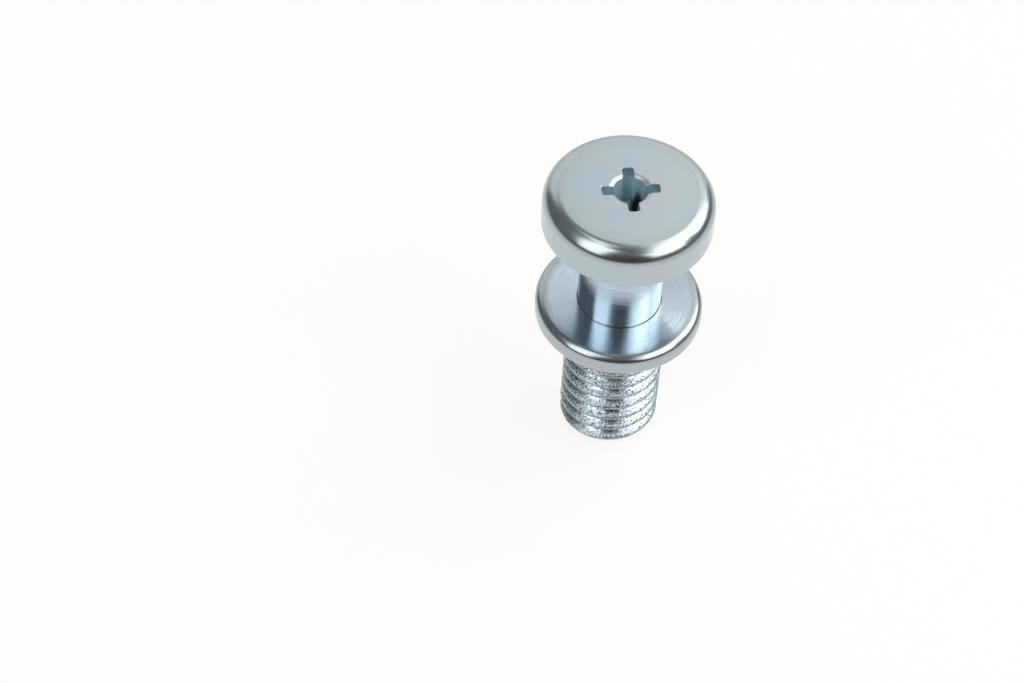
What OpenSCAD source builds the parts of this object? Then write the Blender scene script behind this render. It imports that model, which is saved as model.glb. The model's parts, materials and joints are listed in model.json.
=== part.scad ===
// Refrigerator handle screw: a shoulder screw, headed, turned and thread-rolled from one piece of steel.
// The thread goes into the door as far as the collar. The handle's socket slips over the head,
// and its set screw comes in beside the neck and pulls against the cone under the head.
// The axis is Z, with the head up. The origin is the middle of the thread's flat end.

/* [Head] */
// Diameter of the head
head_d = 10; // [8:0.1:14]
// Height of the head's side, with its rounded edge
head_rim_h = 2.5; // [1.6:0.1:4]
// Radius of the rounded edge at the top of the head
head_edge_r = 1; // [0.2:0.05:1.4]
// Height of the cone under the head
head_cone_h = 2.5; // [0.5:0.1:4]

/* [Cross recess] */
// Width across two opposite wings, at the top of the head
recess_span = 3.35; // [2.8:0.05:5]
// Width of a wing at its tip
recess_tip_w = 0.6; // [0.4:0.05:1]
// Angle by which each side of a wing flares towards the middle
recess_flare_a = 2; // [0.5:0.5:8]
// Diameter of the round core between the wings, at the top of the head
recess_core_d = 2; // [1.6:0.05:2.4]
// Width of the sloping mouth around the core
recess_mouth_w = 0.3; // [0.1:0.05:0.5]
// Depth of the sloping mouth
recess_mouth_d = 0.12; // [0.05:0.01:0.25]
// Angle between the tapering tips of two opposite wings
recess_taper_a = 26.5; // [5:0.5:30]
// Depth of the wings
recess_depth = 2.3; // [1:0.05:3]
// Angle of the pointed bottom
recess_point_a = 118; // [90:1:150]
// Turn of the recess about the axis
recess_turn_a = 8.5; // [0:0.5:89.5]
// Offset of the punched recess from the axis, in X
recess_shift_x = 0.03; // [-0.3:0.01:0.3]
// Offset of the punched recess from the axis, in Y
recess_shift_y = 0.16; // [-0.3:0.01:0.3]

/* [Neck] */
// Diameter of the neck
neck_d = 5; // [4:0.1:7]
// Length of the neck between the collar and the cone
neck_h = 4.2; // [2:0.1:10]
// Radius of the fillet between the neck and the collar
neck_fillet_r = 0.1; // [0.1:0.05:0.5]

/* [Collar] */
// Diameter of the collar
collar_d = 10; // [9:0.1:14]
// Thickness of the collar
collar_t = 1.5; // [1.2:0.1:2.5]
// Radius of the rounded edges of the collar
collar_edge_r = 0.5; // [0.1:0.05:0.55]

/* [Thread] */
// Nominal diameter of the thread
thread_d = 6; // [4:0.5:6]
// Pitch of the thread
thread_pitch = 1; // [0.7:0.05:1.25]
// Length of the threaded end, from the collar to its flat end
thread_len = 9.3; // [5:0.1:20]
// Length over which the thread runs out towards the collar
thread_runout = 0.6; // [0.4:0.1:2.5]
// Length of bare shank between the thread and the fillet under the collar
shank_bare = 0.2; // [0:0.1:1]
// Radius of the fillet under the collar, which keeps its flat seat clear of the thread
shank_fillet_r = 0.4; // [0.4:0.05:0.6]
// Chamfer at the end of the thread
thread_chamfer = 0.55; // [0.2:0.05:0.8]
// Turn of the thread about the axis
thread_turn_a = 203; // [0:1:359]

/* [Hidden] */
// Heights along the axis
collar_z = thread_len;
neck_z = collar_z + collar_t;
cone_z = neck_z + neck_h;
rim_z = cone_z + head_cone_h;
top_z = rim_z + head_rim_h;
groove_start_z = -thread_pitch;
groove_end_z = collar_z - shank_fillet_r - shank_bare;
fade_z = groove_end_z - thread_runout;

// Radii
head_r = head_d / 2;
neck_r = neck_d / 2;
collar_r = collar_d / 2;
thread_r = thread_d / 2;

// Sixty-degree thread: the height of its full triangle, and how much the crest and the root cut off it
triangle_h = thread_pitch * sqrt(3) / 2;
crest_cut = triangle_h / 8;
root_cut = triangle_h / 6;
groove_depth = triangle_h - crest_cut - root_cut;
// Radius of the rolling blank, halfway down the thread, which is left bare beside the collar
blank_r = thread_r - groove_depth / 2;
// Height of the groove's lips above its root, past the crest but short of the next turn's groove
lip_h = groove_depth + crest_cut / 2;
// Sections of the groove in one turn
groove_steps = 30;

// How far cutting bodies run past the face they cut
over = 0.5;
$fn = 96;

// What rounding takes off an outer corner at (r, z): side is 1 for a top corner and -1 for a bottom one
module corner_waste(r, z, edge_r, side) {
    translate([r - edge_r, z - side * edge_r]) difference() {
        translate([0, side > 0 ? 0 : -edge_r - over]) square(edge_r + over);
        circle(edge_r);
    }
}

// Fillet between a shaft of radius r and a flat face at height z: side is 1 above the face and -1 below it
module foot_fillet(r, z, fillet_r, side) {
    difference() {
        translate([r, side > 0 ? z : z - fillet_r]) square(fillet_r);
        translate([r + fillet_r, z + side * fillet_r]) circle(fillet_r);
    }
}

// Half section of the shank, from its chamfered end to the bare blank and the fillet under the collar
module shank_half() {
    polygon([
        [0, 0],
        [thread_r - thread_chamfer, 0],
        [thread_r, thread_chamfer],
        [thread_r, fade_z],
        [blank_r, groove_end_z],
        [blank_r, neck_z - collar_t / 2],
        [0, neck_z - collar_t / 2]
    ]);
    foot_fillet(blank_r, collar_z, shank_fillet_r, -1);
}

// Half section of the collar, with both edges rounded
module collar_half() {
    difference() {
        translate([0, collar_z]) square([collar_r, collar_t]);
        corner_waste(collar_r, collar_z, collar_edge_r, -1);
        corner_waste(collar_r, neck_z, collar_edge_r, 1);
    }
}

// Half section of the neck, with the fillet at its foot
module neck_half() {
    translate([0, collar_z]) square([neck_r, rim_z - collar_z]);
    foot_fillet(neck_r, neck_z, neck_fillet_r, 1);
}

// Half section of the head: a cone below, and a rim with a rounded top edge
module head_half() {
    polygon([[0, cone_z], [neck_r, cone_z], [head_r, rim_z], [0, rim_z]]);
    difference() {
        translate([0, rim_z]) square([head_r, head_rim_h]);
        corner_waste(head_r, top_z, head_edge_r, 1);
    }
}

// How far the groove has moved outwards at height z, where the thread runs out
function groove_lift(z) = lip_h * max(0, z - fade_z) / (groove_end_z - fade_z);

// Half width of the groove at height h above its root
function groove_half_w(h) = (root_cut + h) / sqrt(3);

// Section of the groove after a turn of a degrees, from its upper lip round the root to its lower lip
function groove_section(a) = let (
    z = groove_start_z + thread_pitch * a / 360,
    root_r = thread_r - groove_depth + groove_lift(z),
    turn = a + thread_turn_a
) [
    for (corner = [[lip_h, 1], [0, 1], [0, -1], [lip_h, -1]])
    let (r = root_r + corner[0])
    [r * cos(turn), r * sin(turn), z + corner[1] * groove_half_w(corner[0])]
];

// The helical groove between the turns of a right-hand thread
module thread_groove() {
    sections = ceil((groove_end_z - groove_start_z) / thread_pitch * groove_steps);
    points = [for (i = [0:sections]) each groove_section(i * 360 / groove_steps)];
    corners = len(groove_section(0));
    walls = [
        for (i = [0:sections - 1], k = [0:corners - 1])
        let (
            near = i * corners,
            far = near + corners,
            next = (k + 1) % corners
        )
        each [
            [near + k, near + next, far + next],
            [near + k, far + next, far + k]
        ]
    ];
    start_cap = [for (k = [0:corners - 1]) corners - 1 - k];
    end_cap = [for (k = [0:corners - 1]) sections * corners + k];
    polyhedron(points, concat([start_cap], walls, [end_cap]));
}

// Outline of the wings out to a radius: two crossing bars, a little wider at the middle than at their tips
module wing_outline(reach) {
    slope = tan(recess_flare_a);
    middle_half_w = recess_tip_w / 2 + slope * recess_span / 2;
    end_half_w = middle_half_w - slope * reach;
    for (a = [0, 90]) rotate(a) polygon([
        [reach, end_half_w],
        [0, middle_half_w],
        [-reach, end_half_w],
        [-reach, -end_half_w],
        [0, -middle_half_w],
        [reach, -end_half_w]
    ]);
}

// The cross recess: four wings and a round core, which narrows half as fast as the wings' tips,
// end together in one point, and a cone opens the core's mouth between the wings
module cross_recess() {
    taper = tan(recess_taper_a / 2);
    tip_r = recess_span / 2 + over * taper;
    floor_r = recess_span / 2 - recess_depth * taper;
    floor_z = top_z - recess_depth;
    point_z = floor_z - floor_r / tan(recess_point_a / 2);
    open_z = top_z + over;
    core_r = recess_core_d / 2;
    core_foot_r = core_r - (top_z - point_z) * taper / 2;
    core_open_r = core_r + over * taper / 2;
    mouth_slope = recess_mouth_d / recess_mouth_w;
    mouth_h = (core_r + recess_mouth_w) * mouth_slope + over;
    translate([recess_shift_x, recess_shift_y]) rotate(recess_turn_a) {
        intersection() {
            translate([0, 0, point_z]) union() {
                linear_extrude(open_z - point_z) wing_outline(tip_r + over / 10);
                cylinder(h = open_z - point_z, r1 = core_foot_r, r2 = core_open_r);
            }
            rotate_extrude() polygon([[0, point_z], [floor_r, floor_z], [tip_r, open_z], [0, open_z]]);
        }
        translate([0, 0, open_z - mouth_h]) cylinder(h = mouth_h, r1 = 0, r2 = mouth_h / mouth_slope);
    }
}

// The whole screw: one turned blank, with its thread and its recess formed in it
module handle_screw() {
    color("#b6c2c8") difference() {
        rotate_extrude() {
            shank_half();
            collar_half();
            neck_half();
            head_half();
        }
        thread_groove();
        cross_recess();
    }
}

handle_screw();
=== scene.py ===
"""Dresses a packed handle screw: its plated mesh, its finish, and the studio and camera that show it."""

import json
import math
from typing import NamedTuple

import bpy
import numpy as np
from bpy.props import FloatProperty, FloatVectorProperty, IntProperty, PointerProperty
from bpy.types import Operator, Panel, PropertyGroup
from mathutils import Matrix, Vector


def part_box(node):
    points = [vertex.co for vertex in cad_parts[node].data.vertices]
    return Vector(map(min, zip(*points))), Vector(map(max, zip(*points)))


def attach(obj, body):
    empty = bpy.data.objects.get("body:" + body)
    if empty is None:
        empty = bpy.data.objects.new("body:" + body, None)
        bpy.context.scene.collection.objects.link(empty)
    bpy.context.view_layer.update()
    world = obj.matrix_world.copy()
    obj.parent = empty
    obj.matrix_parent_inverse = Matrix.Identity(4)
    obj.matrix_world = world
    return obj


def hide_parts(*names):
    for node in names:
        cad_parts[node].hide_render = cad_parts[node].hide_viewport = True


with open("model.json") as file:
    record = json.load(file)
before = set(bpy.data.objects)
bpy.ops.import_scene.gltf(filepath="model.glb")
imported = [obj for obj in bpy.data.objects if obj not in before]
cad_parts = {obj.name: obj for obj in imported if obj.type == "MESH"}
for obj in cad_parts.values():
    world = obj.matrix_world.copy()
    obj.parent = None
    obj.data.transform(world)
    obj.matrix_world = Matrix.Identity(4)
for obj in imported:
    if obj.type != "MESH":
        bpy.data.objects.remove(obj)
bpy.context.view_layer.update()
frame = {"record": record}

bl_info = {
    "name": "Handle screw",
    "version": (1, 0, 0),
    "blender": (4, 5, 0),
    "location": "View3D > Sidebar > Handle screw",
    "description": "Makes a zinc-plated handle screw and the studio that shows it",
    "category": "Add Mesh",
}

# Names and sizes that the frame already states, in metres
NODE = "handle_screw"
BODY = "root"
MM = 0.001
MOUNTS = {mount["name"]: mount for mount in frame["record"]["mounts"]}
TOP_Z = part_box(NODE)[1].z
HEAD_R = MOUNTS["head_rim"]["dims"]["r_mm"] * MM
THREAD_R = MOUNTS["thread"]["dims"]["r_mm"] * MM
COLLAR_Z = MOUNTS["collar_seat"]["pos_m"][2]
RECESS_X, RECESS_Y = MOUNTS["driver_recess"]["pos_m"][:2]

TAU = 2 * math.pi


def length(name, description, default, least=0.0):
    """A length in metres that a user can change."""
    return FloatProperty(
        name=name, description=description, default=default, min=least, unit="LENGTH", precision=5
    )


def angle(name, description, degrees):
    """An angle that a user can change, given here in degrees."""
    return FloatProperty(
        name=name, description=description, default=math.radians(degrees), subtype="ANGLE"
    )


def share(name, description, default, most=1.0):
    """A plain number from 0 up that a user can change."""
    return FloatProperty(
        name=name, description=description, default=default, min=0.0, max=most, subtype="FACTOR"
    )


def colour(name, description, default):
    """A linear colour that a user can change."""
    return FloatVectorProperty(
        name=name, description=description, default=default, min=0.0, max=1.0, subtype="COLOR"
    )


class HeadSizes(PropertyGroup):
    """The head: a cone below, and a rim with a rounded top edge."""

    radius: length("Radius", "Radius of the head", HEAD_R)
    rim_h: length("Rim height", "Height of the head's side, with its rounded edge", 0.0025)
    edge_r: length("Top edge", "Radius of the rounded edge at the top of the head", 0.001)
    foot_r: length("Lower edge", "Radius where the rim meets the cone", 0.00012)
    cone_h: length("Cone height", "Height of the cone under the head", 0.0025)


class RecessSizes(PropertyGroup):
    """The cross recess in the head."""

    span: length("Span", "Width across two opposite wings", 0.00335)
    tip_w: length("Tip width", "Width of a wing at its tip", 0.0006)
    flare: angle("Flare", "Angle by which each side of a wing flares towards the middle", 2)
    core_r: length("Core radius", "Radius of the round core between the wings", 0.001)
    mouth_w: length("Mouth width", "Width of the rolled mouth around the core", 0.0003)
    mouth_d: length("Mouth depth", "Depth of the rolled mouth", 0.00012)
    taper: angle("Taper", "Angle between the tapering tips of two opposite wings", 26.5)
    depth: length("Depth", "Depth of the wings", 0.0023)
    point: angle("Point", "Angle of the pointed bottom", 118)
    turn: angle("Turn", "Turn of the recess about the axis", 8.5)
    lip_r: length("Lip", "Radius of the rounded lip", 0.00007)


class ShankSizes(PropertyGroup):
    """The neck, the collar and the thread."""

    neck_r: length("Neck radius", "Radius of the neck", 0.0025)
    neck_foot_r: length("Neck foot", "Radius of the fillet between the neck and the collar", 0.00008)
    neck_top_r: length("Neck top", "Radius of the fillet between the neck and the cone", 0.0003)
    collar_r: length("Collar radius", "Radius of the collar", HEAD_R)
    collar_t: length("Collar thickness", "Thickness of the collar", 0.0015)
    collar_edge_r: length("Collar edge", "Radius of the rounded edges of the collar", 0.0005)
    thread_r: length("Thread radius", "Nominal radius of the thread", THREAD_R)
    pitch: length("Pitch", "Pitch of the thread", 0.001, 0.0003)
    runout: length("Run-out", "Length over which the thread runs out towards the collar", 0.0006)
    bare: length("Bare shank", "Bare shank between the thread and the fillet under the collar", 0.0002)
    fillet_r: length("Collar fillet", "Radius of the fillet under the collar", 0.0004)
    chamfer: length("Chamfer", "Chamfer at the end of the thread", 0.00055)
    turn: angle("Turn", "Turn of the thread about the axis", 203)
    root_w: length("Root rounding", "Width over which the groove's root is rounded", 0.0003)
    dent: length("Dents", "Depth of the small dents that rolling left in the thread", 0.000005)


class PlateFinish(PropertyGroup):
    """The bright zinc plate."""

    tint: colour("Tint", "Colour of the head's rim", (0.475, 0.54, 0.56))
    # The collar tint is darker than the rim's tint: painted shade on the collar's edge.
    collar_shade_tint: colour("Collar tint", "Colour of the collar's edge", (0.435, 0.48, 0.495))
    cool_tint: colour("Cool tint", "Colour of cooler patches on the struck top", (0.50, 0.60, 0.64))
    warm_tint: colour("Warm tint", "Colour of warmer patches on the struck top", (0.54, 0.585, 0.59))
    turned_tint: colour("Turned tint", "Colour of the neck, collar's top and cone", (0.51, 0.605, 0.67))
    rolled_tint: colour("Rolled tint", "Colour of the thread's flanks", (0.56, 0.645, 0.69))
    pit_tint: colour("Pit tint", "Colour of the pits in the thread's flanks", (0.05, 0.09, 0.14))
    crest_tint: colour("Crest tint", "Colour of the thread's rubbed crests", (0.40, 0.375, 0.37))
    core_tint: colour("Core tint", "Colour of the recess's core", (0.50, 0.71, 0.75))
    # The wing tint is lighter than the core's: painted light in the recess's wings.
    wing_lit_tint: colour("Wing tint", "Colour of the recess's wings", (0.64, 0.90, 0.95))
    # The tip tint is painted shade at the tips of the recess's wings.
    tip_shade_tint: colour("Tip tint", "Colour of the tips of the recess's wings", (0.24, 0.32, 0.36))
    # The foot tint is painted shade: in the crease at the neck's foot and at the thread's end.
    painted_shade_tint: colour("Foot tint", "Colour of the neck's foot and the thread's end", (0.20, 0.18, 0.18))
    # The deep tint is painted shade at the recess's bottom.
    deep_shade_tint: colour("Deep tint", "Colour of bare steel at the recess's bottom", (0.04, 0.05, 0.05))
    roughness: share("Roughness", "Roughness of the plain plate", 0.2)
    struck_satin: share("Struck satin", "Roughness that the struck top adds", 0.12)
    turned_shine: share("Turned shine", "Roughness that turning takes away", 0.09)
    rolled_shine: share("Rolled shine", "Roughness that rolling takes away", 0.06)
    recess_satin: share("Recess satin", "Roughness that the recess adds", 0.16)
    patch_satin: share("Patch satin", "Roughness that the warmer patches add", 0.05)
    recess_dull: share("Recess dullness", "How far the plate in the recess is dull and not metal", 0.45)


class StudioLook(PropertyGroup):
    """The floor, the lamps and the camera."""

    floor_colour: colour("Floor", "Colour of the floor and the backdrop", (0.95, 0.95, 0.95))
    whiteness: share("Whiteness", "How far the floor turns to plain white in the picture", 0.85)
    falloff: share("Falloff", "How far the floor dims with distance where metal mirrors it", 0.3)
    lamp_level: share("Lamp level", "Radiance of the softboxes", 2.2, 10.0)
    room_colour: colour("Room", "Radiance of the room behind and beside the screw", (0.17, 0.18, 0.19))
    near_colour: colour("Near room", "Radiance overhead and low on the near side", (0.085, 0.065, 0.06))
    lens: FloatProperty(
        name="Lens", description="Focal length of the camera", default=100.14, unit="CAMERA"
    )
    distance: length("Distance", "Distance from the camera to its aim", 0.1735)
    aim_x: length("Aim, sideways", "X of the camera's aim", -0.0062, -1.0)
    aim_z: length("Aim, height", "Z of the camera's aim", 0.00591)
    elevation: angle("Elevation", "Height of the camera above the horizon", 50.36)
    roll: angle("Roll", "Turn of the camera about its line of sight", 3.644)


class ScrewSettings(PropertyGroup):
    """Everything about the screw and its picture."""

    head: PointerProperty(type=HeadSizes)
    recess: PointerProperty(type=RecessSizes)
    shank: PointerProperty(type=ShankSizes)
    finish: PointerProperty(type=PlateFinish)
    studio: PointerProperty(type=StudioLook)
    columns: IntProperty(name="Columns", description="Columns of the mesh", default=288, min=48, max=300)


# Rows of the mesh across the thread's end, along one pitch of the thread and along a straight side
END_ROWS = 9
PITCH_ROWS = 16
LINE_ROWS = 8
# Largest angle between two rows of an arc, and rows that every arc has
ARC_STEP = math.radians(7)
ARC_ROWS = 3
# Rows of the flat top and of the mouth, around the lip, down the recess's walls and across its bottom
TOP_ROWS = 12
LIP_ROWS = 6
WALL_ROWS = 12
BOTTOM_ROWS = 8
# Points closer than this are one point
WELD = 1e-7


def smooth_max(a, b, width):
    """The greater of two arrays, with the crossing rounded over a width w:
    half of a + b + sqrt((a - b)^2 + w^2)."""
    return (a + b + np.hypot(a - b, width)) / 2


def smooth_min(a, b, width):
    """The lesser of two arrays, with the crossing rounded over a width w:
    half of a + b - sqrt((a - b)^2 + w^2)."""
    return (a + b - np.hypot(a - b, width)) / 2


def fade(low, high, value):
    """0 below low, 1 above high, and 3 t^2 - 2 t^3 between them."""
    t = np.clip((value - low) / (high - low), 0, 1)
    return t * t * (3 - 2 * t)


def graded(rows):
    """Steps from 0 to 1 that are small at both ends: (1 - cos(pi t)) / 2."""
    return (1 - np.cos(np.linspace(0, math.pi, rows))) / 2


def directions(angles):
    """The unit vector (cos a, sin a) for each angle a."""
    return np.stack([np.cos(angles), np.sin(angles)], axis=-1)


def running_length(points):
    """Length of a line from its first point to each of its points."""
    steps = np.linalg.norm(np.diff(points, axis=0), axis=1)
    return np.concatenate([[0], np.cumsum(steps)])


def rounded_section(corners):
    """Section through corners (r, z, edge radius), as rows of (r, z), and its outward normals in the same
    plane. An edge of radius e is an arc tangent to both sides: with a half angle h between them, it starts
    e / tan(h) from the corner, and its middle lies e / sin(h) from the corner, on the bisector. A side
    along (dr, dz) has the normal (dz, -dr)."""
    points = np.array([corner[:2] for corner in corners])
    rows = []
    normals = []

    def add_line(begin, end):
        side = (end - begin) / np.linalg.norm(end - begin)
        rows.append(begin + graded(LINE_ROWS)[:, None] * (end - begin))
        normals.append(np.tile([side[1], -side[0]], (LINE_ROWS, 1)))

    start = points[0]
    for before, here, after, corner in zip(points, points[1:], points[2:], corners[1:]):
        back = (before - here) / np.linalg.norm(before - here)
        on = (after - here) / np.linalg.norm(after - here)
        half = math.acos(back @ on) / 2
        edge = corner[2]
        middle = here + (back + on) / np.linalg.norm(back + on) * edge / math.sin(half)
        first = here + back * edge / math.tan(half) - middle
        last = here + on * edge / math.tan(half) - middle
        first_angle = math.atan2(first[1], first[0])
        sweep = math.remainder(math.atan2(last[1], last[0]) - first_angle, TAU)
        arc_rows = ARC_ROWS + round(abs(sweep) / ARC_STEP)
        arc = directions(first_angle + sweep * np.linspace(0, 1, arc_rows))
        add_line(start, middle + first)
        rows.append(middle + edge * arc)
        normals.append(math.copysign(1, sweep) * arc)
        start = middle + last
    add_line(start, points[-1])
    return np.concatenate(rows), np.concatenate(normals)


def revolve(section, angles):
    """The point (r cos a, r sin a, z) for each row (r, z) of a section and each angle a."""
    r = section[:, 0, None]
    z = section[:, 1, None]
    return np.stack(np.broadcast_arrays(r * np.cos(angles), r * np.sin(angles), z), axis=-1)


class Heights:
    """Heights and radii that follow from the sizes. The thread's crest cuts an eighth off the sixty-degree
    triangle's height, and its root a sixth."""

    def __init__(self, head, shank):
        triangle = shank.pitch * math.sqrt(3) / 2
        self.crest_cut = triangle / 8
        self.root_cut = triangle / 6
        self.groove = triangle - self.crest_cut - self.root_cut
        self.blank_r = shank.thread_r - self.groove / 2
        self.thread_end = COLLAR_Z - shank.fillet_r - shank.bare
        self.runout = self.thread_end - shank.runout
        self.neck = COLLAR_Z + shank.collar_t
        self.rim = TOP_Z - head.rim_h
        self.cone = self.rim - head.cone_h


class Dents(NamedTuple):
    """A pattern of dents: its cells around the thread, its cells before it repeats along the thread, the
    height of a cell, and its seed."""

    around: int
    along: int
    cell_h: float
    seed: int


# Fine dents, and longer tears
DENTS = (
    Dents(around=151, along=97, cell_h=0.00014, seed=5),
    Dents(around=57, along=41, cell_h=0.0003, seed=11),
)
# Length at both ends of the thread over which the dents fade
DENT_FADE = 0.0003
# Rounding of the thread's crest, as a share of the pitch
CREST_ROUNDING = 0.05
# How strongly the rows crowd at the crest and the root, from 0 to 1
ROW_CROWDING = 0.6


def dent_heights(dents, angles, z):
    """Smooth random heights from -1 to 1 at angles and heights z: a seeded lattice that repeats both ways,
    blended by 3 t^2 - 2 t^3."""
    lattice = np.random.default_rng(dents.seed).uniform(-1, 1, (dents.around, dents.along))
    across = np.broadcast_to(angles * dents.around / TAU, z.shape)
    along = z / dents.cell_h
    i = np.floor(across).astype(int)
    j = np.floor(along).astype(int)
    u = fade(0, 1, across - i)
    v = fade(0, 1, along - j)
    near, far = i % dents.around, (i + 1) % dents.around
    low, high = j % dents.along, (j + 1) % dents.along
    below = lattice[near, low] * (1 - u) + lattice[far, low] * u
    above = lattice[near, high] * (1 - u) + lattice[far, high] * u
    return below * (1 - v) + above * v


def thread_radius(shank, at, angles, z):
    """Radius of the thread at an angle a and a height z. The sixty-degree groove's middle is at the height
    pitch (a - turn) / 360 degrees, plus whole pitches. At a distance d from it the groove's radius is the
    root's, or the root's plus sqrt(3) (d - half the root's width). The thread is the lesser of that and the
    blank, which has a chamfered end and narrows where the groove rises out of it."""
    turns = (z / shank.pitch) - (angles - shank.turn) / TAU
    offset = (turns - np.round(turns)) * shank.pitch
    middle = z - offset
    rise = np.clip((middle - at.runout) / shank.runout, 0, None) * (at.groove + at.crest_cut / 2)
    flank = math.sqrt(3) * (np.abs(offset) - at.root_cut / math.sqrt(3))
    groove = shank.thread_r - at.groove + rise + smooth_max(flank, 0, shank.root_w)
    end = shank.thread_r - shank.chamfer + z
    narrow = shank.thread_r - (shank.thread_r - at.blank_r) * (z - at.runout) / shank.runout
    blank = np.minimum(np.minimum(end, narrow), shank.thread_r)
    return smooth_min(blank, groove, CREST_ROUNDING * shank.pitch)


def thread_rows(shank, at, angles):
    """The rolled thread. Each row climbs one pitch per turn and keeps its place in the groove, so a row at
    the share t of the pitch has the height pitch (t - c sin(4 pi t) / 4 pi + angle / 360 degrees). The sine
    crowds the rows by c at the crest and the root. The rows start below the thread and go on past it, and
    are held between its two ends. Small dents roughen it there."""
    turns = math.ceil(at.thread_end / shank.pitch) + 2
    t = np.arange(turns * PITCH_ROWS + 1) / PITCH_ROWS
    climb = t - ROW_CROWDING * np.sin(2 * TAU * t) / (2 * TAU) - 1 - shank.turn / TAU
    z = np.clip(shank.pitch * (climb[:, None] + angles / TAU), 0, at.thread_end)
    inside = fade(0, DENT_FADE, z) * fade(0, DENT_FADE, at.thread_end - z)
    dented = sum(dent_heights(dents, angles, z) for dents in DENTS)
    r = thread_radius(shank, at, angles, z) + shank.dent * inside * dented
    return np.stack([r * np.cos(angles), r * np.sin(angles), z], axis=-1)


# Powers that round the wings' corners, and the meetings of the wings and the core
TIP_POWER = 60
MEETING_POWER = 40
# Trial points for each column, from which even steps along the recess's outline are found
TRIALS = 64
# Least radius of the ring on the flat top around the recess, and its rounding, as shares of the mouth's
RING_SHARE = 1.05
RING_ROUNDING = 0.1


def recess_radius(recess, angles, depth):
    """Radius of the cross recess about its own middle, at a depth. A wing's end has the radius span / 2
    less the taper, and its sides flare, so a side's radius at an angle a from the wing is
    (tip / 2 + tan(flare) span / 2) / (sin a + tan(flare) cos a). A wing ends at the lesser of the two, and
    the recess reaches the greatest of both pairs of wings and the core, which narrows half as fast. Powers
    round each meeting."""
    slope = math.tan(recess.flare)
    taper = math.tan(recess.taper / 2)
    reach = recess.span / 2 - taper * depth
    radii = [recess.core_r - taper / 2 * depth + 0 * angles]
    for quarter in (0, math.pi / 2):
        a = angles - recess.turn - quarter
        side = np.abs(np.sin(a)) + slope * np.abs(np.cos(a))
        side_r = (recess.tip_w / 2 + slope * recess.span / 2) / side
        radii.append(((side_r / reach) ** -TIP_POWER + 1) ** (-1 / TIP_POWER) * reach)
    greatest = np.max(radii, axis=0)
    return greatest * sum((radius / greatest) ** MEETING_POWER for radius in radii) ** (1 / MEETING_POWER)


def recess_angles(recess, columns):
    """Angles of as many points on the recess's outline, at even steps along its length."""
    fine = np.linspace(0, TAU, TRIALS * columns + 1)
    way = running_length(recess_radius(recess, fine, 0.0)[:, None] * directions(fine))
    return np.interp(np.arange(columns) * way[-1] / columns, way, fine)


def recess_rows(recess, columns, flat_r):
    """The head's flat top and the recess. The flat runs from a circle to a ring around the recess, and on
    to the lip. Within the mouth's radius it sinks by the mouth's depth times the square of the share of the
    mouth's width. The lip is a quarter round: at its angle b it lies lip (1 - sin b) outside the outline,
    along the outline's normal, and lip (1 - cos b) below the mouth. The walls follow the outline down to
    the wings' floor, and end in a point."""
    middle = np.array([RECESS_X, RECESS_Y])
    circle = flat_r * directions(np.arange(columns) * TAU / columns)
    angles = recess_angles(recess, columns)
    ray = directions(angles)
    line = recess_radius(recess, angles, 0.0)[:, None] * ray
    along = np.roll(line, -1, axis=0) - np.roll(line, 1, axis=0)
    normal = np.stack([along[:, 1], -along[:, 0]], axis=-1)
    normal = normal / np.linalg.norm(along, axis=-1, keepdims=True)
    lip_line = line + recess.lip_r * normal
    lip_line_r = np.linalg.norm(lip_line, axis=-1, keepdims=True)
    mouth_r = recess.core_r + recess.mouth_w
    ring_r = smooth_max(lip_line_r, RING_SHARE * mouth_r, RING_ROUNDING * mouth_r)
    ring = lip_line * ring_r / lip_line_r

    def sunk(rows):
        into = np.clip((mouth_r - np.linalg.norm(rows, axis=-1)) / recess.mouth_w, 0, 1)
        return recess.mouth_d * into**2

    t = np.linspace(0, 1, TOP_ROWS)[:, None, None]
    flat = (circle - middle) * (1 - t) + ring * t
    mouth = ring * (1 - t) + lip_line * t
    b = np.linspace(0, math.pi / 2, LIP_ROWS)[:, None]
    lip = line + recess.lip_r * (1 - np.sin(b[..., None])) * normal
    lip_d = sunk(lip_line) + recess.lip_r * (1 - np.cos(b))

    wall_d = lip_d[-1] + np.linspace(0, 1, WALL_ROWS)[1:, None] * (recess.depth - lip_d[-1])
    wall = recess_radius(recess, angles, wall_d)[..., None] * ray
    to_point = 1 / math.tan(recess.point / 2)
    floor_r = recess.span / 2 - recess.depth * math.tan(recess.taper / 2)
    bottom = wall[-1] * np.linspace(1, 0, BOTTOM_ROWS)[:, None, None]
    bottom_d = recess.depth + floor_r * to_point - np.linalg.norm(bottom, axis=-1) * to_point
    rows = np.concatenate([flat, mouth, lip, wall, bottom])
    depths = np.concatenate([sunk(flat), sunk(mouth), lip_d, wall_d, bottom_d])
    return np.concatenate([middle + rows, (TOP_Z - depths)[..., None]], axis=-1)


def grid_faces(rows, columns, seam_rows):
    """Corner numbers of a closed grid's faces. Past the last column a face goes on in the first, seam_rows
    higher."""
    i = np.arange(rows - 1)[:, None]
    j = np.arange(columns)
    next_j = (j + 1) % columns
    lift = seam_rows * (next_j == 0)
    low = np.minimum(i + lift, rows - 1)
    high = np.minimum(i + lift + 1, rows - 1)
    corners = (i * columns + j, low * columns + next_j, high * columns + next_j, (i + 1) * columns + j)
    return np.stack(np.broadcast_arrays(*corners), axis=-1).reshape(-1, 4)


def weld(points, faces):
    """Makes points that coincide one point. Faces that shrank to a line go, and those with three corners
    become triangles. Returns the first number of each kept point, the four-sided faces and the
    triangles."""
    _, first, number = np.unique(
        np.round(points / WELD).astype(np.int64), axis=0, return_index=True, return_inverse=True
    )
    faces = number.ravel()[faces]
    same = faces == np.roll(faces, -1, axis=1)
    count = same.sum(axis=1)
    short = faces[count == 1]
    double = same[count == 1].argmax(axis=1)
    triangles = np.take_along_axis(short, (double[:, None] + np.array([1, 2, 3])) % 4, axis=1)
    return first, faces[count == 0], triangles


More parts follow.
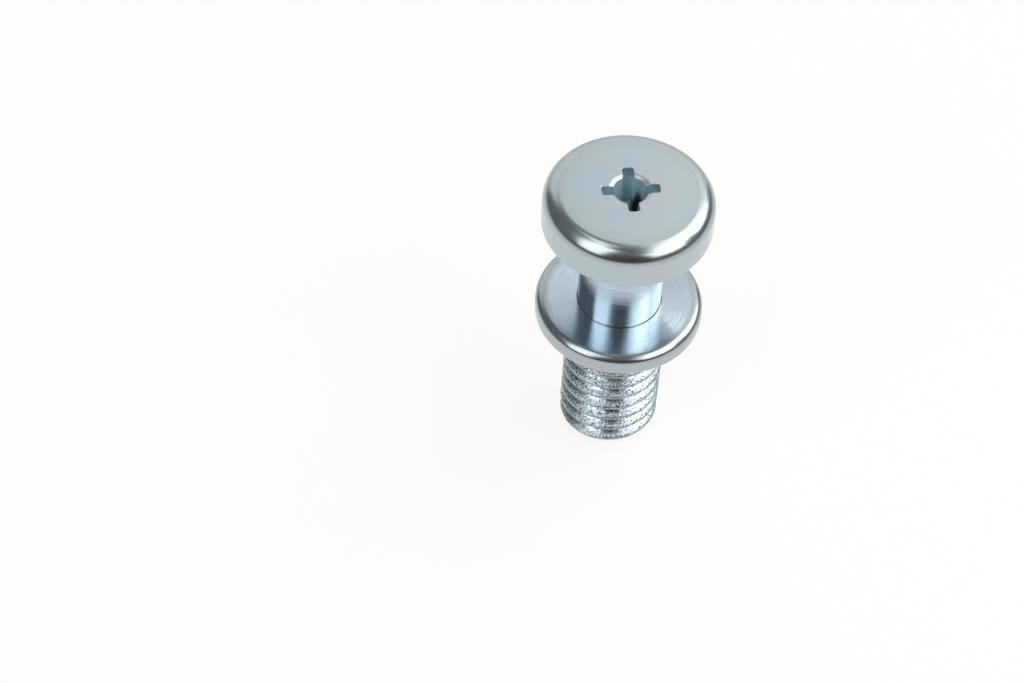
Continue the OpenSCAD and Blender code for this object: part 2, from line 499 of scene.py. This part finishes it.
# How far the section runs in over the flat top, as a share of the head's edge radius
FLAT_LEAD = 0.1
# Depths below the collar's top between which the turned face starts
TURNED_FROM, TURNED_TO = 0.1 * MM, 0.02 * MM
# How far inside and outside the flat top's circle the struck face fades, as shares of the edge radius
STRUCK_INSIDE, STRUCK_OUTSIDE = 0.7, 0.6


def screw_section(head, shank, at):
    """Half section from the thread's upper end over the collar, the neck and the head to the flat top, and
    its normals."""
    flat_r = head.radius - head.edge_r
    return rounded_section([
        (at.blank_r, at.thread_end, 0),
        (at.blank_r, COLLAR_Z, shank.fillet_r),
        (shank.collar_r, COLLAR_Z, shank.collar_edge_r),
        (shank.collar_r, at.neck, shank.collar_edge_r),
        (shank.neck_r, at.neck, shank.neck_foot_r),
        (shank.neck_r, at.cone, shank.neck_top_r),
        (head.radius, at.rim, head.foot_r),
        (head.radius, TOP_Z, head.edge_r),
        (flat_r - FLAT_LEAD * head.edge_r, TOP_Z, 0),
    ])


def finish_zones(settings, at, points):
    """How far each point belongs to the rolled thread, the turned faces, the struck top and the recess."""
    head, shank, recess = settings.head, settings.shank, settings.recess
    z = points[:, 2]
    r = np.hypot(points[:, 0], points[:, 1])
    rolled = 1 - fade(at.thread_end - shank.bare, at.thread_end + shank.bare, z)
    band = shank.collar_edge_r / 2
    collar_flat_r = shank.collar_r - shank.collar_edge_r
    on_flat = 1 - fade(collar_flat_r - band, collar_flat_r, r)
    over_neck = fade(at.cone, at.cone + band, z)
    low = fade(at.neck - TURNED_FROM, at.neck - TURNED_TO, z) * (1 - over_neck) * on_flat
    cone = over_neck * (1 - fade(at.rim - band, at.rim, z))
    offset = points[:, :2] - (RECESS_X, RECESS_Y)
    outline = recess_radius(recess, np.arctan2(offset[:, 1], offset[:, 0]), 0.0)
    outside = np.linalg.norm(offset, axis=-1) - outline
    inner = fade(at.neck, at.cone, z) * (1 - fade(-recess.lip_r / 2, recess.lip_r, outside))
    flat_r = head.radius - head.edge_r
    struck_from = flat_r - STRUCK_INSIDE * head.edge_r
    struck_to = flat_r + STRUCK_OUTSIDE * head.edge_r
    struck = fade(at.rim - MM, at.rim, z) * (1 - fade(struck_from, struck_to, r)) * (1 - inner)
    return np.stack([rolled, low + cone, struck, inner], axis=-1)


def screw_mesh(settings):
    """One closed mesh of the whole screw, as blocks of rows from the middle of the thread's end to the
    recess's point: the end face, the thread, the revolved shank, collar, neck and head, and the head's top
    with its recess. The revolved block carries its true normals and the length along its section."""
    at = Heights(settings.head, settings.shank)
    columns = settings.columns
    angles = np.arange(columns) * TAU / columns
    section, section_normals = screw_section(settings.head, settings.shank, at)
    thread = thread_rows(settings.shank, at, angles)
    end_face = thread[0] * np.linspace(0, 1, END_ROWS)[:, None, None]
    body = revolve(section, angles)
    body[0] = thread[-1]
    top = recess_rows(settings.recess, columns, section[-1, 0])

    blocks = (end_face, thread, body, top)
    seams = (0, PITCH_ROWS, 0, 0)
    starts = np.cumsum([0, *(len(block) * columns for block in blocks)])
    faces = [
        grid_faces(len(block), columns, seam_rows) + start
        for block, seam_rows, start in zip(blocks, seams, starts)
    ]
    points = np.concatenate([block.reshape(-1, 3) for block in blocks])
    body_from, body_to = starts[2], starts[3]
    marks = np.zeros(len(points))
    marks[body_from:body_to] = np.repeat(running_length(section), columns)
    normals = np.zeros(points.shape)
    normals[body_from + columns : body_to] = revolve(section_normals, angles)[1:].reshape(-1, 3)
    first, quads, triangles = weld(points, np.concatenate(faces))
    points = points[first]

    mesh = bpy.data.meshes.new("plated_screw")
    mesh.from_pydata(points, [], quads.tolist() + triangles.tolist())
    mesh.shade_smooth()
    mesh.normals_split_custom_set_from_vertices(normals[first])
    along = mesh.attributes.new("along_mm", "FLOAT", "POINT")
    along.data.foreach_set("value", (marks[first] / MM).astype(np.float32))
    zones = mesh.attributes.new("zone", "FLOAT_COLOR", "POINT")
    zones.data.foreach_set("color", finish_zones(settings, at, points).astype(np.float32).ravel())
    mesh.update()
    return mesh


class Wire:
    """An output socket of a node tree, or the bare tree to start from. Arithmetic with wires and numbers
    adds Math nodes."""

    def __init__(self, tree, socket=None):
        self.tree = tree
        self.socket = socket

    def node(self, kind, settings=None, inputs=None, output=0):
        """Adds a node: its settings are set first, then the values or wires of its inputs. Gives one of its
        outputs."""
        made = self.tree.nodes.new(kind)
        for name, value in (settings or {}).items():
            setattr(made, name, value)
        for name, value in (inputs or {}).items():
            if isinstance(value, Wire):
                self.tree.links.new(value.socket, made.inputs[name])
            else:
                made.inputs[name].default_value = value
        return Wire(self.tree, made.outputs[output])

    def maths(self, operation, first, second):
        """A Math node on two values."""
        return self.node("ShaderNodeMath", {"operation": operation}, {0: first, 1: second})

    def __add__(self, other):
        return self.maths("ADD", self, other)

    def __sub__(self, other):
        return self.maths("SUBTRACT", self, other)

    def __rsub__(self, other):
        return self.maths("SUBTRACT", other, self)

    def __mul__(self, other):
        return self.maths("MULTIPLY", self, other)

    def __abs__(self):
        return self.maths("ABSOLUTE", self, 0.0)

    __radd__ = __add__
    __rmul__ = __mul__


# Numbers of a Mix node's two colour inputs and of its colour output
MIX_FIRST, MIX_SECOND, MIX_RESULT = 6, 7, 2


def noise(place, scale, detail):
    """Noise from 0 to 1 at a place, with a scale in cells for each unit of that place."""
    inputs = {"Vector": place, "Scale": scale, "Detail": detail}
    return place.node("ShaderNodeTexNoise", inputs=inputs, output="Fac")


def step(value, low, high):
    """0 below low, 1 above high, and a straight line between them."""
    return value.node("ShaderNodeMapRange", inputs={"Value": value, "From Min": low, "From Max": high})


def opaque(tint):
    """A colour with its alpha."""
    return (*tint, 1)


def blend(factor, first, second):
    """The first colour where the factor is 0, and the second where it is 1. Each is a tint or a wire."""
    colours = [tint if isinstance(tint, Wire) else opaque(tint) for tint in (first, second)]
    inputs = {"Factor": factor, MIX_FIRST: colours[0], MIX_SECOND: colours[1]}
    return factor.node("ShaderNodeMix", {"data_type": "RGBA"}, inputs, MIX_RESULT)


def coordinate(place, axis):
    """One coordinate of a place: X, Y or Z."""
    return place.node("ShaderNodeSeparateXYZ", inputs={0: place}, output=axis)


def axis_distance(place):
    """Distance of a place from the screw's axis: the length of (x, y, 0)."""
    across = place.node("ShaderNodeVectorMath", {"operation": "MULTIPLY"}, {0: place, 1: (1, 1, 0)})
    return place.node("ShaderNodeVectorMath", {"operation": "LENGTH"}, {0: across}, "Value")


def new_material(name):
    """An empty material with its tree and its output node."""
    material = bpy.data.materials.new(name)
    material.use_nodes = True
    tree = material.node_tree
    tree.nodes.clear()
    return material, Wire(tree), tree.nodes.new("ShaderNodeOutputMaterial")


# Scales of the plate's noises, in cells for each metre
PATCH_SCALE = 420.0
GRAIN_SCALE = 7000.0
SPECK_SCALE = 9000.0
PIT_SCALE = 16000.0
# Turning rings: how far their noise moves for each metre in space and for each millimetre of the section,
# and their share of the relief
RING_DRIFT = 700.0
RING_PACE = {"X": 21, "Y": 13, "Z": 17}
RING_HEIGHT = 0.3
# Height of the plate's relief
RELIEF = 0.02 * MM
# Levels of noise between which the patches of the struck top and the pits of the thread change over
PATCH_EDGE = (0.35, 0.65)
SPECK_EDGE = (0.33, 0.49)
# Radii between which the thread's flanks and crests begin, and the struck top's grain ends
FLANK_EDGE = (0.89 * THREAD_R, 0.95 * THREAD_R)
CREST_EDGE = (0.9945 * THREAD_R, 0.998 * THREAD_R)
GRAIN_EDGE = (0.66 * HEAD_R, 0.76 * HEAD_R)
# Distances from the neck and from the collar's top between which the painted shade in the crease at the
# neck's foot ends
FOOT_FROM, FOOT_TO = 0.02 * MM, 0.07 * MM
# Heights between which the painted shade at the thread's end fades, and its strength
END_EDGE = (0.1 * MM, 0.45 * MM)
END_SHADE = 0.7
# Radii in the recess where the core turns to wings painted lighter, and the wings to tips with painted
# shade
WING_EDGE = (0.9 * MM, 1.3 * MM)
TIP_EDGE = (1.2 * MM, 1.6 * MM)
# Depths in the recess between which the tips' painted shade ends, and the bottom's painted shade begins
TIP_DEPTH = (0.1 * MM, 0.7 * MM)
DEEP_DEPTH = (2.0 * MM, 2.6 * MM)
# A streak of painted shade in the recess: X of its middle, where it fades beside that, how dark it is, and
# by how much it raises the painted shade of the bottom
STREAK_X = 0.54 * MM
STREAK_EDGE = (0.1 * MM, 0.44 * MM)
STREAK_SHADE = 0.5
STREAK_LIFT = 1.2 * MM


class PlateMasks:
    """Wires that say where on the screw a point of the plate is: its place, its distance from the axis, its
    height, and how far it belongs to each zone that the mesh carries."""

    def __init__(self, sheet):
        zone = sheet.node("ShaderNodeAttribute", {"attribute_name": "zone"}, output="Color")
        self.place = sheet.node("ShaderNodeTexCoord", output="Object")
        self.radius = axis_distance(self.place)
        self.height = coordinate(self.place, "Z")
        self.rolled = sheet.node("ShaderNodeSeparateColor", inputs={0: zone}, output="Red")
        self.turned = sheet.node("ShaderNodeSeparateColor", inputs={0: zone}, output="Green")
        self.struck = sheet.node("ShaderNodeSeparateColor", inputs={0: zone}, output="Blue")
        self.inner = sheet.node("ShaderNodeAttribute", {"attribute_name": "zone"}, output="Alpha")
        self.along = sheet.node("ShaderNodeAttribute", {"attribute_name": "along_mm"}, output="Fac")
        self.patches = step(noise(self.place, PATCH_SCALE, detail=3.0), *PATCH_EDGE)


def plate_bump(sheet, masks):
    """Relief of the plate: rings on the turned faces, and grain and pits on the thread and the struck top.
    The rings are noise at a place that moves fast along the section and slowly in space."""
    drift = sheet.node(
        "ShaderNodeVectorMath", {"operation": "SCALE"}, {0: masks.place, "Scale": RING_DRIFT}
    )
    moves = {axis: masks.along * pace for axis, pace in RING_PACE.items()}
    run = sheet.node("ShaderNodeCombineXYZ", inputs=moves)
    ring_place = sheet.node("ShaderNodeVectorMath", {"operation": "ADD"}, {0: drift, 1: run})
    rings = noise(ring_place, scale=1.0, detail=3.0)
    grain = noise(masks.place, GRAIN_SCALE, detail=4.0)
    pits = noise(masks.place, PIT_SCALE, detail=2.0)
    flank = masks.rolled * step(masks.radius, *FLANK_EDGE)
    inland = 1 - step(masks.radius, *GRAIN_EDGE)

    def roughened(mask, grain_share, pit_share):
        return mask * (grain_share * grain + pit_share * pits)

    height = (
        RING_HEIGHT * masks.turned * rings
        + roughened(masks.rolled, grain_share=0.3, pit_share=0.5)
        + roughened(flank, grain_share=0.75, pit_share=0.9)
        + roughened(masks.struck * inland, grain_share=0.05, pit_share=0.08)
    )
    return sheet.node("ShaderNodeBump", inputs={"Strength": 1.0, "Distance": RELIEF, "Height": height})


def outer_tint(finish, shank, masks):
    """Colour of the plate outside the recess: rims, struck top, turned faces and thread, each blended over
    the one before, with painted shade on the collar's edge, in the crease at the neck's foot and at the
    thread's end."""
    neck_z = COLLAR_Z + shank.collar_t
    # Below the neck the collar's darker tint gives painted shade on the collar's edge.
    rims = blend(step(masks.height, neck_z, neck_z + MM), finish.collar_shade_tint, finish.tint)
    struck = blend(masks.struck, rims, blend(masks.patches, finish.cool_tint, finish.warm_tint))
    turned = blend(masks.turned, struck, finish.turned_tint)
    specks = step(noise(masks.place, SPECK_SCALE, detail=4.0), *SPECK_EDGE)
    rolled = blend(masks.rolled, turned, blend(specks, finish.pit_tint, finish.rolled_tint))
    crest = masks.rolled * step(masks.radius, *CREST_EDGE)
    crested = blend(crest, rolled, finish.crest_tint)
    # A line of painted shade in the crease at the neck's foot, and painted shade at the thread's end.
    by_neck = 1 - step(masks.radius, shank.neck_r + FOOT_FROM, shank.neck_r + FOOT_TO)
    by_collar = 1 - step(masks.height, neck_z + FOOT_FROM, neck_z + FOOT_TO)
    foot = masks.turned * by_neck * by_collar
    end = END_SHADE * masks.rolled * (1 - step(masks.height, *END_EDGE))
    return blend(foot + end, crested, finish.painted_shade_tint)


def recess_tint(finish, masks):
    """Colour of the plate in the recess: a core, wings lightened by painted light, painted shade at the
    wings' tips, a streak of painted shade, and painted shade at the bottom."""
    depth = TOP_Z - masks.height
    # The wings are lighter than the core: painted light.
    walls = blend(step(masks.radius, *WING_EDGE), finish.core_tint, finish.wing_lit_tint)
    # The wings' tips take painted shade near the top.
    tips = step(masks.radius, *TIP_EDGE) * (1 - step(depth, *TIP_DEPTH))
    # A streak of painted shade, which also lifts the painted shade of the bottom.
    streak = 1 - step(abs(coordinate(masks.place, "X") - STREAK_X), *STREAK_EDGE)
    shaded = blend(tips + STREAK_SHADE * streak, walls, finish.tip_shade_tint)
    # The recess's bottom takes painted shade.
    deep = step(depth + STREAK_LIFT * streak, *DEEP_DEPTH)
    return blend(deep, shaded, finish.deep_shade_tint)


def zinc_plate(settings):
    """Bright zinc plate: satin on the struck top, fine rings on the turned faces, and grainy on the rolled
    thread."""
    finish = settings.finish
    material, sheet, out = new_material("zinc_plate")
    masks = PlateMasks(sheet)
    roughness = (
        finish.roughness
        + finish.struck_satin * masks.struck
        - finish.turned_shine * masks.turned
        - finish.rolled_shine * masks.rolled
        + finish.recess_satin * masks.inner
        + finish.patch_satin * masks.patches
    )
    outside = outer_tint(finish, settings.shank, masks)
    inputs = {
        "Base Color": blend(masks.inner, outside, recess_tint(finish, masks)),
        "Metallic": 1 - finish.recess_dull * masks.inner,
        "Roughness": roughness,
        "Normal": plate_bump(sheet, masks),
    }
    plate = sheet.node("ShaderNodeBsdfPrincipled", inputs=inputs)
    material.node_tree.links.new(plate.socket, out.inputs["Surface"])
    return material


# The floor's and the backdrop's sides in X, the floor's sides in Y, and the backdrop's height
FLOOR_X = (-0.2, 0.2)
FLOOR_Y = (-0.18, 0.3)
BACKDROP_X = (-0.33, 0.23)
BACKDROP_H = 0.39
# Distances from the axis between which the paper dims, and heights between which it clears again
DIM_DISTANCE = (0.015, 0.1)
CLEAR_HEIGHT = (0.0, 0.15)


def paper(studio):
    """Pale paper for the floor and backdrop: it takes the shadow, and part of it is plain white to what
    sees it. Metal sees it dim with the distance from the screw, as a lit table does, and less so up the
    backdrop."""
    material, sheet, out = new_material("pale_paper")
    seen = sheet.node("ShaderNodeLightPath", output="Is Camera Ray")
    glossy = sheet.node("ShaderNodeLightPath", output="Is Glossy Ray")
    through = sheet.node("ShaderNodeLightPath", output="Is Transmission Ray")
    place = sheet.node("ShaderNodeTexCoord", output="Object")
    away = step(axis_distance(place), *DIM_DISTANCE)
    low = 1 - step(coordinate(place, "Z"), *CLEAR_HEIGHT)
    level = 1 - studio.falloff * glossy * away * low
    matt = sheet.node("ShaderNodeBsdfDiffuse", inputs={"Color": opaque(studio.floor_colour)})
    white = sheet.node("ShaderNodeEmission", inputs={"Color": level, "Strength": 1.0})
    factor = (seen + glossy + through) * studio.whiteness
    mixed = sheet.node("ShaderNodeMixShader", inputs={"Fac": factor, 1: matt, 2: white})
    material.node_tree.links.new(mixed.socket, out.inputs["Surface"])
    return material


def studio_sheet(name, corners, material):
    """A flat sheet of the stage through four corners."""
    mesh = bpy.data.meshes.new(name)
    mesh.from_pydata(corners, [], [(0, 1, 2, 3)])
    mesh.materials.append(material)
    sheet = bpy.data.objects.new(name, mesh)
    bpy.context.scene.collection.objects.link(sheet)


def lay_paper(studio):
    """The floor, and the backdrop that stands at its far side."""
    material = paper(studio)
    left, right = FLOOR_X
    near, far = FLOOR_Y
    corners = [(left, near, 0), (right, near, 0), (right, far, 0), (left, far, 0)]
    studio_sheet("floor", corners, material)
    left, right = BACKDROP_X
    corners = [(left, far, 0), (right, far, 0), (right, far, BACKDROP_H), (left, far, BACKDROP_H)]
    studio_sheet("backdrop", corners, material)


class Softbox(NamedTuple):
    """A lamp: where it hangs, in degrees from +Y to the right and above the horizon, its width and height,
    its turn in its plane in degrees, and its share of the lamp level."""

    name: str
    azimuth: float
    elevation: float
    size: tuple
    roll: float
    level: float


SOFTBOXES = (
    Softbox("left_softbox", azimuth=-134, elevation=43.5, size=(0.26, 0.52), roll=5, level=0.85),
    Softbox("top_softbox", azimuth=-74, elevation=77.5, size=(0.085, 0.27), roll=-90, level=0.85),
    Softbox("right_softbox", azimuth=70, elevation=57, size=(0.62, 0.32), roll=-6, level=1.0),
    Softbox("low_softbox", azimuth=65, elevation=33, size=(0.31, 0.17), roll=0, level=1.0),
    Softbox("front_softbox", azimuth=124, elevation=38.5, size=(0.34, 0.28), roll=-5, level=0.98),
)
# Distance of every lamp from the screw's middle
LAMP_DISTANCE = 0.5


def hang_softbox(box, lamp_level):
    """A rectangular lamp that faces the screw. With an area A and a radiance L its power is pi A L."""
    width, height = box.size
    lamp = bpy.data.lights.new(box.name, "AREA")
    lamp.shape = "RECTANGLE"
    lamp.size = width
    lamp.size_y = height
    lamp.energy = math.pi * width * height * (box.level * lamp_level)
    a, e = math.radians(box.azimuth), math.radians(box.elevation)
    direction = Vector((math.sin(a) * math.cos(e), math.cos(a) * math.cos(e), math.sin(e)))
    side = Vector((0, 0, 1)).cross(direction).normalized()
    facing = Matrix((side, direction.cross(side), direction)).transposed()
    turn = facing @ Matrix.Rotation(math.radians(box.roll), 3, "Z")
    place = direction * LAMP_DISTANCE + Vector((0, 0, TOP_Z / 2))
    holder = bpy.data.objects.new(box.name, lamp)
    holder.matrix_world = Matrix.Translation(place) @ turn.to_4x4()
    holder.visible_camera = False
    bpy.context.scene.collection.objects.link(holder)


# How fast the room darkens towards the camera and downwards
NEAR_PACE = 1.8
DOWN_PACE = 1.1
# Heights on the unit sphere between which the room darkens overhead, and how dark it gets there
OVERHEAD_EDGE = (0.75, 1.0)
OVERHEAD_SHADE = 0.6


def dim_room(studio):
    """A dim room, darker overhead and low on the camera's side."""
    world = bpy.data.worlds.new("dim_room")
    world.use_nodes = True
    tree = world.node_tree
    tree.nodes.clear()
    air = Wire(tree)
    ray = air.node("ShaderNodeTexCoord", output="Generated")
    up = coordinate(ray, "Z")
    back = coordinate(ray, "Y")
    near = air.node("ShaderNodeClamp", inputs={0: -NEAR_PACE * back - DOWN_PACE * up})
    dark = air.node("ShaderNodeClamp", inputs={0: near + OVERHEAD_SHADE * step(up, *OVERHEAD_EDGE)})
    level = blend(dark, studio.room_colour, studio.near_colour)
    light = air.node("ShaderNodeBackground", inputs={"Color": level, "Strength": 1.0})
    out = tree.nodes.new("ShaderNodeOutputWorld")
    tree.links.new(light.socket, out.inputs["Surface"])
    bpy.context.scene.world = world


# Width of the camera's sensor in millimetres, and the distances between which it sees
SENSOR_W = 36
CLIP_START, CLIP_END = 0.01, 20


def place_camera(studio):
    """A camera that looks along +Y and down, with its right turned by the roll out of the horizon."""
    e, roll = studio.elevation, studio.roll
    forward = Vector((0, math.cos(e), -math.sin(e)))
    level_up = Vector((0, math.sin(e), math.cos(e)))
    right = math.cos(roll) * Vector((1, 0, 0)) + math.sin(roll) * level_up
    up = right.cross(forward)
    lens = bpy.data.cameras.new("camera")
    lens.lens = studio.lens
    lens.sensor_width = SENSOR_W
    lens.clip_start = CLIP_START
    lens.clip_end = CLIP_END
    camera = bpy.data.objects.new("camera", lens)
    turn = Matrix((right, up, -forward)).transposed().to_4x4()
    aim = Vector((studio.aim_x, 0, studio.aim_z))
    camera.matrix_world = Matrix.Translation(aim - forward * studio.distance) @ turn
    bpy.context.scene.collection.objects.link(camera)
    bpy.context.scene.camera = camera


class HANDLESCREW_OT_screw(Operator):
    """Makes the plated screw as one mesh in place of its CAD node"""

    bl_idname = "handle_screw.make_screw"
    bl_label = "Make screw"

    def execute(self, context):
        settings = context.scene.handle_screw
        mesh = screw_mesh(settings)
        mesh.materials.append(zinc_plate(settings))
        screw = bpy.data.objects.new("plated_screw", mesh)
        context.scene.collection.objects.link(screw)
        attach(screw, BODY)
        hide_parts(NODE)
        return {"FINISHED"}


class HANDLESCREW_OT_stage(Operator):
    """Makes the floor, the backdrop, the lamps, the room and the camera"""

    bl_idname = "handle_screw.make_stage"
    bl_label = "Make stage"

    def execute(self, context):
        studio = context.scene.handle_screw.studio
        lay_paper(studio)
        for box in SOFTBOXES:
            hang_softbox(box, studio.lamp_level)
        dim_room(studio)
        place_camera(studio)
        context.scene.view_settings.view_transform = "Standard"
        return {"FINISHED"}


class HANDLESCREW_PT_panel(Panel):
    """Lists the sizes, the finish and the steps"""

    bl_idname = "HANDLESCREW_PT_panel"
    bl_label = "Handle screw"
    bl_space_type = "VIEW_3D"
    bl_region_type = "UI"
    bl_category = "Handle screw"

    def draw(self, context):
        settings = context.scene.handle_screw
        for group in (settings.head, settings.recess, settings.shank, settings.finish, settings.studio):
            box = self.layout.box()
            for name in group.__annotations__:
                box.prop(group, name)
        self.layout.prop(settings, "columns")
        for operator in OPERATORS:
            self.layout.operator(operator.bl_idname)


OPERATORS = (HANDLESCREW_OT_screw, HANDLESCREW_OT_stage)
CLASSES = (
    HeadSizes,
    RecessSizes,
    ShankSizes,
    PlateFinish,
    StudioLook,
    ScrewSettings,
    *OPERATORS,
    HANDLESCREW_PT_panel,
)


def register():
    for item in CLASSES:
        bpy.utils.register_class(item)
    bpy.types.Scene.handle_screw = PointerProperty(type=ScrewSettings)


def unregister():
    del bpy.types.Scene.handle_screw
    for item in reversed(CLASSES):
        bpy.utils.unregister_class(item)


def main():
    """Registers the classes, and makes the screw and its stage."""
    register()
    bpy.ops.handle_screw.make_screw()
    bpy.ops.handle_screw.make_stage()


if __name__ == "__main__":
    main()
